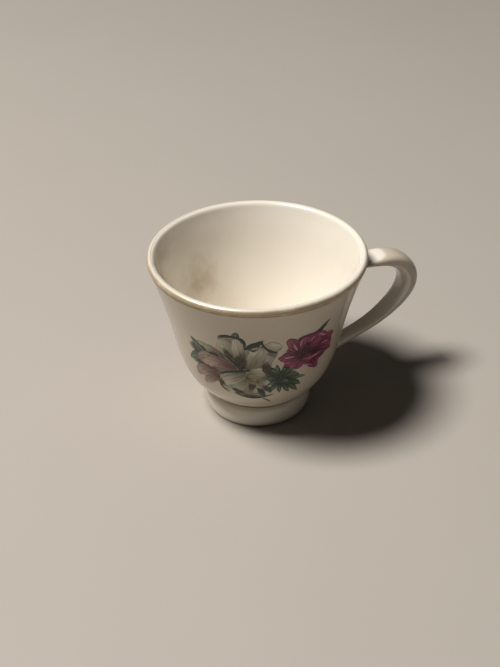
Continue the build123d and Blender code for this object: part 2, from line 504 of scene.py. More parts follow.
def glaze_finish(name, colours, outside, stains=()):
    """Old clear glaze on porcelain: soft gloss, pin holes, hairlines and the stains it is given.

    A stain is (middle, size, stretch along the axes, strength), in metres.
    """
    f = Finish(name)
    cloud = f.noise(14 * MM, 4.0)
    fine = f.noise(0.9 * MM, 2.0)
    height = f.axis("Z")
    foot, shoulder, wall = 5.5 * MM, 8 * MM, 13 * MM
    # A band from 5.5 to 13 mm up is darkened: partly glaze pooled there, partly painted shade in
    # the hollow between the bowl and the foot
    pool_and_shade = f.step(height, wall, shoulder) * f.step(height, foot, shoulder)
    inside = f.inside()
    # Faces that look towards the axis take the clean glaze; the others take the outside colour,
    # which for the bowl and handle is a darker glaze painted in as shade
    paint = f.mix(inside, outside, colours.glaze)
    paint = f.mix(pool_and_shade * (0.35 + cloud * 0.5), paint, colours.pool_and_shade)
    paint = f.shade(paint, 0.955 + cloud * 0.09)
    ragged = f.noise(6 * MM, 3.0, 0.5, warp=0.3)
    for middle, size, stretch, strength in stains:
        reach = f.away(middle, stretch) / size + (ragged - 0.5) * 1.5
        paint = f.mix(f.step(reach, 1.2, 0.0) * inside * strength, paint, colours.tea)
    specks = f.cells(4.2 * MM)
    chosen = f.step(f.noise(9 * MM, 1.0), 0.66, 0.74)
    paint = f.mix(f.step(specks, 0.05, 0.03) * chosen * 0.35, paint, colours.tea)
    hair = f.step(f.cells(6.5 * MM, "DISTANCE_TO_EDGE"), 0.010, 0.003)
    crazed = f.step(f.noise(16 * MM, 2.0), 0.58, 0.70)
    paint = f.mix(hair * crazed * 0.03, paint, colours.tea)
    rough = 0.19 + cloud * 0.06 + fine * 0.01
    peel = f.noise(6 * MM, 2.0) - f.step(specks, 0.07, 0.03) * chosen * 0.5
    return f.done(
        Base_Color=paint, Roughness=rough, Normal=f.bump(peel, 0.005 * MM),
        Coat_Weight=0.35, **COAT,
    )


def foot_finish(name, colours):
    """Glaze on the sides of the foot, with a bare, grey standing edge."""
    f = Finish(name)
    cloud = f.noise(8 * MM, 4.0)
    edge = f.axis("Z") + (f.noise(3 * MM, 3.0) - 0.5) * (0.5 * MM)  # a ragged height
    bare = f.step(edge, 0.75 * MM, 0.45 * MM)
    waist = f.step(edge, 5.8 * MM, 7.4 * MM)
    # The top of the foot, under the bowl's bulge, is darkened: painted shade, with some pooled
    # glaze
    paint = f.mix(waist * 0.7 + cloud * 0.12, colours.glaze, colours.pool_and_shade)
    paint = f.shade(paint, 0.94 + cloud * 0.1)
    clay = f.shade(f.mix(cloud, colours.clay, colours.pool_and_shade), 0.8 + f.noise(0.5 * MM, 3.0) * 0.4)
    line = f.step(abs(edge - 0.8 * MM), 0.28 * MM, 0.05 * MM)
    paint = f.mix(line * 0.5, paint, colours.tea)
    paint = f.mix(bare, paint, clay)
    grain = f.noise(0.35 * MM, 4.0) * bare + f.noise(2 * MM, 2.0) * (1 - bare) * 0.5
    return f.done(
        Base_Color=paint, Roughness=0.19 + cloud * 0.06 + bare * 0.5,
        Coat_Weight=0.35 * (1 - bare), Normal=f.bump(grain, 0.03 * MM), **COAT,
    )


def gilding_finish(name, colours, crest, foot):
    """Fired gold rubbed down to a dull tan, with a darker line along its lower edge."""
    f = Finish(name)
    height = f.axis("Z")
    wear = f.noise(7 * MM, 5.0, 0.65, warp=0.6)
    scratch = f.noise(0.6 * MM, 3.0, 0.7)
    gone = f.step(wear + scratch * 0.25, 0.56, 0.74)
    rubbed = f.step(height, crest - 0.75 * MM, crest + 0.1 * MM)
    worn_top = f.step(height, foot + 0.6 * MM, crest - 0.4 * MM)
    line = f.step(height, foot + 0.65 * MM, foot + 0.15 * MM)
    paint = f.mix((gone * 0.75).peak(worn_top * 0.7), colours.gilding, colours.worn)
    paint = f.mix(rubbed * 0.85, paint, colours.glaze)
    dark = tuple(part * 0.42 for part in colours.gilding)
    paint = f.mix(line * (0.9 - gone * 0.4), paint, dark)
    paint = f.shade(paint, 0.9 + scratch * 0.2)
    metal = (1 - gone) * (1 - rubbed) * 0.35
    return f.done(
        Base_Color=paint, Metallic=metal, Roughness=0.29 + scratch * 0.14 + gone * 0.04,
        Normal=f.bump(scratch, 0.01 * MM), IOR=1.5,
    )


def petal_finish(name, root, body, edge, vein, softness=0.0, freckles=0.0, cover=1.0):
    """Fired enamel on a petal or a leaf: root to tip, dark to light, with veins and print grain."""
    f = Finish(name)
    along, across, tint = (f.attribute(mark) for mark in ("along", "across", "tint"))
    fan = f.node(
        "ShaderNodeCombineXYZ", sockets={0: across * 2.4, 1: along * 0.9, 2: tint * 23.0})
    streak = f.noise(0.5, 3.0, 0.6, where=fan)
    blot = f.noise(2.6 * MM, 4.0, 0.6)
    grain = f.noise(0.32 * MM, 2.0, 0.7)
    rim = f.step(abs(across) + (blot - 0.5) * 0.5, 0.62, 1.02)
    tip = f.step(along + (blot - 0.5) * 0.3, 0.72, 1.0)
    paint = f.mix(f.step(along + (streak - 0.5) * 0.9, 0.05, 0.75), root, body)
    paint = f.mix(rim.peak(tip) * 0.75, paint, edge)
    paint = f.mix(f.step(streak, 0.56, 0.70) * 0.55, paint, vein)
    lit = f.step(across * (0.6 + tint) + (blot - 0.5), -0.8, 0.9)
    paint = f.shade(paint, 0.74 + lit * 0.34 + (grain - 0.5) * 0.30 + (tint - 0.5) * 0.24)
    if freckles:
        dots = f.step(f.cells(1.9 * MM), 0.26, 0.16)
        paint = f.mix(dots * f.step(tint, 0.4, 0.6) * freckles, paint, vein)
    alpha = f.step(abs(across), 1.0, 0.88 - softness)
    alpha = alpha * f.step(along, 0.0, 0.05 + softness) * f.step(along, 1.0, 0.97 - softness)
    return f.done(
        Base_Color=paint, Roughness=0.29 + grain * 0.08,
        Alpha=alpha * ((0.88 + blot * 0.12) * cover), Coat_Weight=0.3, **COAT,
    )


# ---- fired flowers
# Sizes of brush strokes are in millimetres.
STROKE_STEP = 0.45     # between points along a stroke
LANE_WIDTH = 0.5       # between points across it
THINNEST = 0.02        # half width of the finest line
TIP = 0.004            # half width left at a stroke's two ends
BLUNTNESS = 7          # the power that rounds a stroke's ends
RUFFLES = ((0.07, 17, 40), (0.05, 31, 90))  # waves of a stroke's edge: depth, pace, shift by tint
LAYER_SHARE = 0.9      # the share of a layer over which its own strokes are stacked
VEIN_RISE = 0.45       # how many layers a vein lies above its petal
VEIN_TIP = 0.4         # a vein's width at its ends, as a share of its middle


def brushed(strokes, wall, angle, height, sizes):
    """Points, faces and marks of brush strokes laid on the wall about one place.

    A stroke is (layer, tint, knots); a knot is (right, up, half width), in millimetres.
    """
    reach = wall.radius(height)
    points, faces = [], []
    marks = {"along": [], "across": [], "tint": []}
    for order, (layer, tint, knots) in enumerate(strokes):
        run = sum(math.dist(a[:2], b[:2]) for a, b in zip(knots, knots[1:]))
        widest = max(knot[2] for knot in knots)
        steps = max(8, round(run / STROKE_STEP))
        lanes = max(4, 2 * round(widest / LANE_WIDTH))
        line = curve_through(knots, steps)
        stacked = layer + LAYER_SHARE * order / len(strokes)
        lift = sizes.paint_lift + stacked * sizes.paint_step
        first = len(points)
        for number, (right, up, half) in enumerate(line):
            before, after = line[max(0, number - 1)], line[min(steps, number + 1)]
            run_x, run_y = after[0] - before[0], after[1] - before[1]
            size = math.hypot(run_x, run_y) or 1.0
            share = number / steps
            blunt = math.sqrt(max(0.0, 1 - abs(2 * share - 1) ** BLUNTNESS))
            ruffle = 1 + sum(
                depth * math.sin(share * pace + tint * shift) for depth, pace, shift in RUFFLES)
            half = max(max(THINNEST, half) * blunt * ruffle, TIP)
            for lane in range(lanes + 1):
                side = 2 * lane / lanes - 1
                offset = side * half * MM
                x = right * MM - offset * run_y / size
                y = up * MM + offset * run_x / size
                buried = lane in (0, lanes) or number in (0, steps)
                points.append(fired(wall.point(
                    angle + x / reach, height + y, -sizes.paint_lift if buried else lift), sizes))
                marks["along"].append(share)
                marks["across"].append(side)
                marks["tint"].append(tint)
        for number in range(steps):
            for lane in range(lanes):
                here = first + number * (lanes + 1) + lane
                there = here + lanes + 1
                faces.append((here, here + 1, there + 1, there))
    return points, faces, marks


def paint_flower(flower, families, angle, rise, sizes):
    """Lays a flower's strokes on the wall, as one piece for each family of colour.

    A family is (name, strokes, then what petal_finish takes after its name).
    """
    node = flower + "_decal"
    foot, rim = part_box("foot_slip_joint")[1].z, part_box("rim_gilding")[0].z
    height = (foot + rim) / 2 + rise
    for family, strokes, *looks in families:
        points, faces, marks = brushed(strokes, MADE["wall"], angle, height, sizes)
        mesh = bpy.data.meshes.new(flower + "_" + family)
        mesh.from_pydata(points, [], faces)
        for mark, numbers in marks.items():
            mesh.attributes.new(mark, "FLOAT", "POINT").data.foreach_set("value", numbers)
        work = bmesh.new()
        work.from_mesh(mesh)
        bmesh.ops.recalc_face_normals(work, faces=work.faces)
        for face in work.faces:
            middle = face.calc_center_median()
            if face.normal.dot(Vector((middle.x, middle.y, 0))) < 0:
                face.normal_flip()
        work.to_mesh(mesh)
        work.free()
        place_piece(mesh, petal_finish(mesh.name + "_enamel", *looks), flower, node)


def veins_of(strokes, lanes, half):
    """Thin lines that run along each stroke, a share of its half width to either side."""
    made = []
    for layer, tint, knots in strokes:
        for lane in lanes:
            line = []
            for index, (right, up, width) in enumerate(knots):
                before, after = knots[max(0, index - 1)], knots[min(len(knots) - 1, index + 1)]
                run_x, run_y = after[0] - before[0], after[1] - before[1]
                offset = lane * width / math.hypot(run_x, run_y)
                share = VEIN_TIP if index in (0, len(knots) - 1) else 1
                line.append((right - offset * run_y, up + offset * run_x, half * share))
            made.append((layer + VEIN_RISE, (tint * 7.3 + lane) % 1.0, line))
    return made


LEFT_LEAF_WASH = [
    (0, 0.3, [(-7, 3.4, 0.6), (-11.4, 4.2, 2.6), (-15, 4.4, 2.8), (-17.4, 3.6, 0.4)]),
    (0, 0.45, [(-9.4, 0.6, 0.6), (-13.8, -0.6, 2.6), (-18, -2.6, 0.8)]),
    (0, 0.5, [(-6, -9.4, 0.4), (-1, -12, 1.3), (5, -13, 1.2), (10.4, -12, 0.4)]),
]
WHITE_WASH = [
    (0, 0.5, [(-13, 3, 1), (-8, 0, 6), (0, -1, 8.4), (7, -2, 7.4), (10.8, -3, 2)]),
    (0, 0.4, [(-1, 1, 3), (-2, 6, 4.6), (-1.6, 11, 3.6), (-1, 14.4, 0.8)]),
    (0, 0.6, [(2, 3, 2), (6.6, 6, 4.2), (11, 8.6, 2.4), (12.6, 8, 0.6)]),
    (0, 0.45, [(-7, -6, 1), (-2, -8.6, 3.6), (4, -9.2, 3.8), (9.4, -8.6, 2.2)]),
]
LEAF_WASH = [
    (0, 0.4, [(7.6, -2.6, 0.8), (11.4, -4.4, 4), (16.4, -6, 4.4), (19.6, -7.4, 1)]),
]
WHITE_PETALS = [
    (2, 0.35, [(-4, 3.6, 1.2), (-8, 5.6, 2.3), (-11.5, 7.2, 1.6), (-13.2, 8, 0.4)]),
    (3, 0.6, [(0.8, -0.6, 0.4), (-1.6, 4, 2.6), (-3.2, 8.4, 3.3), (-4.2, 11.4, 2.2),
        (-5.4, 12.9, 0.4)]),
    (4, 0.8, [(1, -0.8, 0.3), (1.2, 4, 1.9), (0.6, 8.4, 2.9), (0.2, 11.8, 1.9), (0.1, 14.8, 0.5)]),
    (3, 0.72, [(5.2, 5.6, 0.8), (8, 8.6, 2.5), (10.3, 9.6, 2.4), (12.4, 8.2, 0.9)]),
    (5, 0.66, [(1.6, -0.6, 0.5), (4, 3, 2.6), (5.8, 7, 3.3), (6, 10.6, 2.1)]),
    (4, 0.45, [(2.6, -0.8, 0.5), (5.6, 1.4, 2.3), (8.2, 4.2, 2.7), (9.6, 6.6, 1)]),
    (4, 0.62, [(3.2, -1.6, 0.9), (-1, -3.8, 2.7), (-5, -6, 2.9), (-8, -8.4, 1.4)]),
    (3, 0.48, [(3, -3, 0.8), (0.2, -6.6, 2.6), (-2.8, -9.6, 2.4), (-5.8, -12, 0.9)]),
    (2, 0.38, [(4.4, -4.2, 0.9), (4.8, -8, 2.3), (5.8, -11.4, 1.4)]),
    (5, 0.7, [(1.8, -4, 0.8), (3.6, -1.8, 2), (6.4, -1.2, 2.2), (8.4, -3.4, 1)]),
    (3, 0.42, [(5.2, -4, 1), (7.6, -6.4, 2.3), (9.4, -9, 1.4)]),
]
PINK_PETALS = [
    (5, 0.7, [(-0.6, -1.1, 0.4), (-4, 0.8, 2.5), (-8, 1.8, 3.5), (-12, 0.9, 3), (-14.2, -0.6, 1)]),
    (3, 0.3, [(-7, -2.8, 0.7), (-11, -3.6, 2.4), (-14.6, -5.6, 2.4), (-16.4, -8, 0.7)]),
    (4, 0.42, [(-6.6, -4.6, 0.5), (-9.6, -6.6, 1.9), (-12.6, -9, 1.6), (-14, -10.6, 0.3)]),
]
WHITE_LEAVES = [
    (3, 0.5, [(-9, 2.6, 0.7), (-11.8, 4.6, 2.2), (-13.8, 6.6, 1.5), (-15.6, 8.8, 0.1)]),
    (2, 0.3, [(-9.8, 2, 0.7), (-13.2, 1.6, 1.9), (-16.6, -0.4, 1.5), (-18.6, -2.2, 0.1)]),
    (6, 0.25, [(-0.9, 13, 0.4), (-0.3, 14.6, 1.2), (0.1, 16.3, 0.4)]),
    (2, 0.6, [(-1.6, -9.6, 0.5), (-0.6, -11.4, 1.2), (1.2, -13.2, 0.2)]),
    (4, 0.2, [(12.4, -3.4, 0.6), (10.8, -1.2, 1.3), (8.4, 0.6, 0.2)]),
    (5, 0.75, [(12.8, -3.2, 0.5), (11.8, -0.6, 1), (11.6, 1.6, 0.2)]),
    (4, 0.35, [(13.2, -3.2, 0.6), (14.2, -0.8, 1.1), (14, 1.2, 0.2)]),
    (5, 0.62, [(13.6, -3.6, 0.6), (15.8, -1.8, 1.1), (18.4, -1.4, 0.1)]),
    (4, 0.28, [(13.6, -4.6, 0.6), (16.8, -4, 1.3), (19.8, -4.8, 0.2)]),
    (5, 0.8, [(15.4, -5.6, 0.6), (18.8, -5.8, 1.1), (22.6, -6.6, 0.1)]),
    (4, 0.22, [(15.2, -6.4, 0.6), (18.4, -8, 1.3), (21.2, -10, 0.2)]),
    (5, 0.52, [(15, -7, 0.6), (17.8, -9.8, 1.2), (20.6, -13, 0.1)]),
    (4, 0.4, [(14.4, -7.2, 0.6), (15.4, -9.8, 1.1), (17, -12.4, 0.2)]),
    (5, 0.7, [(13.6, -7, 0.6), (13, -9.6, 1), (13.6, -12, 0.1)]),
    (4, 0.3, [(12.8, -6.4, 0.6), (10.8, -8.8, 1.2), (9.6, -11.4, 0.2)]),
    (5, 0.66, [(12.4, -5.6, 0.6), (10.2, -6.4, 1), (8, -8.2, 0.1)]),
    (3, 0.44, [(12, -4.4, 0.6), (9.8, -4, 1.2), (7.4, -5, 0.2)]),
    (6, 0.85, [(13, -5.2, 0.3), (14.6, -6, 0.9), (16.6, -7.4, 0.2)]),
]
INK = [
    (7, 0.2, [(-5.9, 12.7, 0.15), (-3.8, 13.7, 0.8), (-1.4, 14, 0.6), (0.8, 13.3, 0.8),
        (2, 11, 0.6), (1.6, 8.6, 0.2)]),
    (7, 0.3, [(1.6, 8.6, 0.4), (3.4, 9.9, 1.2), (5.6, 11.3, 1.25), (7.4, 13.1, 0.2)]),
    (7, 0.4, [(6.8, 12.2, 0.2), (7.4, 10.2, 0.5), (8.6, 8.6, 0.7), (9.9, 7.5, 0.8),
        (11.7, 6.8, 0.1)]),
    (7, 0.5, [(-5.8, 6, 0.12), (-3.3, 4.3, 0.5), (-1, 1.6, 0.75), (0.9, -0.9, 0.8)]),
    (7, 0.45, [(-8, -4, 0.12), (-3.4, -2.1, 0.7), (1, -1.1, 0.75), (4.6, -0.2, 0.15)]),
    (6, 0.35, [(5.4, -8.2, 0.4), (6.9, -10.6, 1.3), (8.2, -13, 0.3)]),
    (7, 0.4, [(0.6, -13.4, 0.1), (4, -13.9, 0.35), (8, -13.2, 0.35), (11.6, -11.9, 0.1)]),
    (7, 0.4, [(7.2, -13.8, 0.12), (9.2, -15.3, 0.32), (10.7, -16.8, 0.1)]),
    (6, 0.35, [(8, 0.2, 0.2), (10, -2.2, 1.2), (12.4, -5, 1)]),
    (6, 0.5, [(-7.4, -7.6, 0.2), (-7, -9.6, 0.5), (-5, -11.8, 0.2)]),
]
SHADE = [
    (6, 0.5, [(1.6, 9, 0.3), (0.8, 5, 2), (0.5, 1.6, 2.5), (0.9, -1, 0.8)]),
    (6, 0.3, [(1, 4.6, 0.3), (0.9, 2.4, 1.3), (0.9, -0.9, 0.6)]),
    (6, 0.6, [(7.8, 4.4, 0.3), (8.2, 1.6, 1.8), (8.8, -1.6, 1.7), (9.6, -5, 0.5)]),
    (6, 0.4, [(-7.4, -4.8, 0.3), (-6.6, -7.4, 1.3), (-5, -9.8, 0.4)]),
    (6, 0.45, [(2.6, -6, 0.4), (3.8, -7.6, 1.7), (3, -11, 0.6)]),
    (6, 0.55, [(6.4, -6.6, 0.4), (8.8, -9, 1.5), (10.6, -11.4, 0.4)]),
    (6, 0.35, [(-4, -9, 0.3), (-1.6, -10.4, 1.4), (1.6, -11.6, 0.6)]),
    (6, 0.5, [(-1, 2.4, 0.3), (-3, 5.6, 1.3), (-4.6, 9.2, 0.4)]),
    (6, 0.45, [(3, 9.4, 0.3), (4.4, 8.4, 0.9), (6.4, 9.6, 0.3)]),
    (6, 0.4, [(-5.6, 3.4, 0.3), (-7.6, 4.4, 1), (-11, 4.6, 0.4)]),
]
OCHRE = [
    (7, 0.6, [(1.6, -3.6, 0.4), (3.6, -3, 1.1), (6, -3.6, 1.1), (7.6, -5, 0.4)]),
    (8, 0.3, [(2.4, -5.6, 0.3), (4.2, -6.2, 0.9), (6.2, -5.6, 0.4)]),
    (8, 0.8, [(3.2, -4.8, 0.3), (4.6, -4.6, 0.7), (5.8, -4.9, 0.3)]),
]
MAGENTA_WASH = [
    (0, 0.4, [(-8.4, 0.6, 2), (-3.6, 0.8, 6.4), (2, -0.2, 6.6), (8.6, -1.4, 4), (10.6, -1.8, 1)]),
    (0, 0.6, [(-5.4, 6.4, 1), (-1.2, 5, 3.4), (3.6, 4.4, 3), (7, 3.6, 1)]),
]
MAGENTA_PETALS = [
    (2, 0.4, [(-0.6, 0.4, 1), (4.6, 2.2, 2.4), (8.6, 2.6, 2.2), (10.8, 2.6, 0.3)]),
    (3, 0.52, [(-0.4, -0.4, 1), (4.6, -1, 2.6), (8.6, -2.4, 2.2), (11.4, -4, 0.4)]),
    (2, 0.3, [(-0.6, -1.2, 1), (2.4, -4.6, 2.6), (4.6, -7.8, 1.7), (5.8, -9.4, 0.4)]),
    (3, 0.66, [(-1.2, -1.2, 1), (-2.4, -4.2, 2.5), (-2.8, -7, 1)]),
    (4, 0.75, [(-1.6, -0.6, 1), (-4.8, -2.8, 2.5), (-7.6, -4.6, 1.1)]),
    (5, 0.6, [(-1.8, 0, 1), (-5.4, -0.2, 2.5), (-9, -0.8, 1.5), (-9.6, -1, 0.6)]),
    (3, 0.5, [(-1.6, 1, 1), (-4.4, 3.6, 2.4), (-6.6, 6.6, 1.6), (-7, 8, 0.3)]),
    (4, 0.7, [(-1, 1.4, 1), (-1.8, 4.2, 2.2), (-1.4, 6.8, 1.5)]),
    (3, 0.34, [(-0.4, 1.4, 1), (1.8, 4.2, 2.2), (3.6, 6.6, 1.4)]),
    (6, 0.44, [(-0.8, 0.8, 0.8), (2, 2, 1.7), (4.6, 3.6, 1)]),
    (6, 0.82, [(-1.2, -0.6, 0.8), (0.6, -3, 1.6), (1.8, -5.2, 1)]),
]
MAGENTA_STREAKS = [
    (7, 0.6, [(-2.4, -2.4, 0.1), (0.6, -3.5, 0.45), (4, -3.3, 0.55), (7.4, -2.2, 0.15)]),
    (7, 0.4, [(-3.4, 1.2, 0.1), (-4.8, 3.4, 0.55), (-5.8, 5.9, 0.15)]),
    (7, 0.5, [(-2.8, 2.4, 0.1), (-3.1, 4.6, 0.45), (-2.6, 7, 0.15)]),
    (7, 0.7, [(-4, -0.7, 0.1), (-6.4, -0.5, 0.75), (-8.8, -0.3, 0.25)]),
    (7, 0.55, [(2.2, 4.8, 0.1), (3.6, 5.6, 0.55), (5.2, 4.4, 0.4), (7.8, 3.4, 0.1)]),
    (7, 0.45, [(-1, -5, 0.1), (1, -6.4, 0.45), (3.6, -7.2, 0.15)]),
    (7, 0.65, [(-5.2, -2.6, 0.1), (-6.8, -3, 0.4), (-8.2, -2.6, 0.1)]),
    (7, 0.35, [(4.2, 1, 0.1), (6.4, 0.9, 0.4), (9.2, 0.2, 0.1)]),
    (7, 0.58, [(-0.2, 3.6, 0.1), (0.8, 5, 0.4), (1.4, 6.6, 0.15)]),
]
MAGENTA_EYE = [
    (6, 0.3, [(-0.8, 4.8, 0.2), (-0.6, 2.6, 0.7), (-0.2, 0.2, 1.3), (0.6, -1.6, 0.5)]),
    (6, 0.5, [(-0.6, 0.6, 0.5), (1.6, 1.6, 0.9), (4.2, 1.8, 0.3)]),
    (6, 0.4, [(-0.8, -0.2, 0.4), (-2.2, -1.4, 0.8), (-4, -3.2, 0.2)]),
    (5, 0.6, [(2.2, -0.8, 0.3), (4.4, -1.4, 0.7), (7.2, -3, 0.2)]),
    (5, 0.35, [(-8, -4, 0.3), (-6.8, -4.9, 0.8), (-5.6, -5, 0.3)]),
]
MAGENTA_LEAF = [
    (3, 0.2, [(0.6, 4.8, 0.7), (2.4, 6.8, 1.3), (4.2, 8.8, 1), (6.2, 10.9, 0.1)]),
]
# Tea stains in the bowl: middle and size in millimetres, stretch along the axes, strength.
BOWL_STAINS = [
    ((-32, -1, 50), 7, (1, 0.5, 0.6), 0.65),
    ((-29, -10, 44), 5, (1, 0.6, 0.5), 0.35),
    ((-28, 18, 53), 7, (0.8, 0.6, 1.3), 0.35),
    ((-11, 26, 35), 7, (1, 0.9, 0.7), 0.42),
    ((-17, 22, 33), 6, (1, 0.8, 0.6), 0.25),
    ((-8, 8, 9), 9, (1, 1, 1), 0.08),
]


# ---- the handle's strap
EYE_OUT, EYE_UP = 0.53, 0.73   # the middle of the loop, as shares of the handle's box
LOOP_SWEEP = (126, -122, -3)   # the way the rays turn about it, in degrees
STRAP_STEP = 0.8 * MM          # between the strap's sections
STRAP_SUNK = 1.3 * MM          # how far the strap's ends run on into the wall
THICKEST = 3.2 * MM            # a half thickness over this is a ray that missed
RING_POINTS = 40               # points round a section
SQUARENESS = 0.74              # the power that squares a section; at 1 it is an ellipse


def strap_middles(tree, low, high):
    """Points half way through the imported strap, from one end round to the other."""
    eye = Vector((low.x + EYE_OUT * (high.x - low.x), 0, low.z + EYE_UP * (high.z - low.z)))
    middles = []
    for degrees in range(*LOOP_SWEEP):
        aim = Vector((math.cos(math.radians(degrees)), 0, math.sin(math.radians(degrees))))
        inner = tree.ray_cast(eye, aim)[0]
        outer = inner and tree.ray_cast(inner + aim * 0.05 * MM, aim)[0]
        if not outer:
            raise RuntimeError("the packed handle has no whole loop")
        middles.append((inner + outer) / 2)
    for end, beyond in ((0, 1), (-1, -2)):
        away = (middles[end] - middles[beyond]).normalized()
        tip = tree.ray_cast(middles[end], away)[0]
        reach = (tip - middles[end]).length + STRAP_SUNK
        steps = max(2, round(reach / STRAP_STEP))
        added = [middles[end] + away * (reach * k / steps) for k in range(1, steps + 1)]
        middles = added[::-1] + middles if end == 0 else middles + added
    return eased(even(middles, STRAP_STEP), 6, math.radians(90))


def strap_sections(tree, middles):
    """The strap's sections: each is [middle, directions, half thickness, half width]."""
    side = Vector((0, 1, 0))
    sections = []
    for index, middle in enumerate(middles):
        before, after = middles[max(0, index - 1)], middles[min(len(middles) - 1, index + 1)]
        forward = (after - before).normalized()
        outward = Vector((-forward.z, 0, forward.x))
        over, under, beside = (
            tree.ray_cast(middle, way)[0] for way in (outward, -outward, side))
        half = breadth = None
        if over and under and beside:
            half, breadth = (over - under).length / 2, (beside - middle).length
            if half > THICKEST:
                half = sections[-1][2] if sections else THICKEST / 2
            middle = (over + under) / 2
        sections.append([middle, (outward, side, forward), half, breadth])
    known = [k for k, section in enumerate(sections) if section[2]]
    for index, section in enumerate(sections):
        if not section[2]:
            section[2:] = sections[min(known, key=lambda k: abs(k - index))][2:]
    for _ in range(4):
        for index in range(1, len(sections) - 1):
            before, here, after = sections[index - 1:index + 2]
            for item in (2, 3):
                here[item] = (before[item] + 2 * here[item] + after[item]) / 4
    return sections


def strap_ring(section):
    """Points round one section of the strap: flat faces and well rounded edges."""
    middle, (outward, side, _), half, breadth = section
    made = []
    for number in range(RING_POINTS):
        turn = math.tau * number / RING_POINTS
        c, s = math.cos(turn), math.sin(turn)
        a = math.copysign(abs(c) ** SQUARENESS, c) * half
        b = math.copysign(abs(s) ** SQUARENESS, s) * breadth
        made.append(middle + outward * a + side * b)
    return made


def root_fillet(name, section, towards, reach):
    """Slip smeared off one end of the strap on to the wall, towards which the strap runs."""
    wall = MADE["bowl_tree"]
    rows = []
    for start in strap_ring(section):
        spread = (start - section[0]).normalized()
        hit = wall.ray_cast(start - towards * 6 * MM, towards)[0]
        if hit is None:
            raise RuntimeError("the handle doesn't reach the wall")
        rise = hit - towards * reach * 1.1 - spread * 0.03 * MM
        foot, normal = wall.find_nearest(hit + spread * reach)[:2]
        foot = foot - normal * SUNK
        corner = hit.lerp((rise + foot) / 2, 0.12)
        deep, inward = normal * 0.6 * MM, spread * 0.8 * MM
        rows.append(
            bent(rise, corner, foot, 9) + [foot - deep, hit - inward - deep, rise - inward])
    return skin(name, rows)


# ---- operators: one for each piece or group of like pieces
class Maker:
    """What the operators share: each one's make() gets the scene's sizes and colours."""

    def execute(self, context):
        self.make(context.scene.teacup_sizes, context.scene.teacup_colours)
        return {"FINISHED"}


class MakeBowl(Maker, bpy.types.Operator):
    """Make the glazed bowl, with its stains"""

    bl_idname = "teacup.make_bowl"
    bl_label = "Bowl"

    def make(self, sizes, colours):
        outline = eased(even(half_section("bowl"), sizes.outline_step), 3)
        if len(outline) < 50:
            raise RuntimeError("the packed bowl has no whole outline")
        MADE["wall"] = Wall(outline)
        rows = turned(outline, sizes.turns)
        mesh = cleaned(fired_skin("bowl_body", rows, sizes, closed=False))
        stains = [
            ([part * MM for part in middle], size * MM, stretch, strength)
            for middle, size, stretch, strength in BOWL_STAINS
        ]
        # The outside of the bowl takes the darker glaze that paints in its shade
        finish = glaze_finish("bowl_glaze", colours, colours.shaded_outside, stains)
        place_piece(mesh, finish, "glaze", "bowl")
        MADE["bowl_tree"] = tree_of(mesh)


class MakeFoot(Maker, bpy.types.Operator):
    """Make the foot ring and the glaze bead that joins it to the bowl"""

    bl_idname = "teacup.make_foot"
    bl_label = "Foot"

    def make(self, sizes, colours):
        outline = half_section("foot_ring")
        outline = eased(even(outline + outline[:1], sizes.outline_step * 0.7), 2)[:-1]
        ring = fired_skin("foot_ring_body", turned(outline, sizes.foot_turns), sizes)
        place_piece(cleaned(ring), foot_finish("foot_glaze", colours), "glaze", "foot_ring")

        joint_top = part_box("foot_slip_joint")[1].z
        bore_side = 15 * MM
        outside = [p for p in outline if p.x > bore_side]
        waist = min(p.x for p in outside if p.y > joint_top - 1.5 * MM)
        top, bottom = joint_top + sizes.foot_fillet, joint_top - 1.3 * sizes.foot_fillet
        upper = Vector((MADE["wall"].radius(top) - SUNK, top))
        beside = min(outside, key=lambda p: abs(p.y - bottom))
        lower = Vector((beside.x - SUNK, bottom))
        section = bent(upper, Vector((waist, joint_top)), lower, 12)
        section += [Vector((waist - MM, lower.y)), Vector((waist - MM, upper.y))]
        bead = fired_skin("foot_slip_bead", turned(section, sizes.foot_turns), sizes)
        finish = glaze_finish("slip_bead_glaze", colours, colours.glaze)
        place_piece(cleaned(bead), finish, "bare_slip", "foot_slip_joint")


class MakeHandle(Maker, bpy.types.Operator):
    """Make the handle's strap and the slip fillets at its two ends"""

    bl_idname = "teacup.make_handle"
    bl_label = "Handle"

    def make(self, sizes, colours):
        tree = tree_of(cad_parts["handle"].data)
        low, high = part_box("handle")
        sections = strap_sections(tree, strap_middles(tree, low, high))
        rings = [strap_ring(section) for section in sections]
        top, bottom = (
            [sum(ring, Vector()) / RING_POINTS] * RING_POINTS for ring in (rings[0], rings[-1]))
        strap = fired_skin("handle_strap", [top, *rings, bottom], sizes, closed=False)
        stain = ((low.x + 9 * MM, 0, high.z - 2 * MM), 4 * MM, (1, 0.4, 1), 0.25)
        # The strap's outward faces take the darker glaze that paints in their shade
        finish = glaze_finish("handle_glaze", colours, colours.shaded_outside, [stain])
        place_piece(cleaned(strap), finish, "glaze", "handle")

        for root, end, way in (("handle_upper", 0, -1), ("handle_lower", -1, 1)):
            section = sections[end]
            mesh = root_fillet(
                root + "_fillet", section, section[1][2] * way, sizes.root_fillet)
            finish = glaze_finish(root + "_fillet_glaze", colours, colours.glaze)
            place_piece(cleaned(mesh), finish, "glaze", root + "_slip_joint")


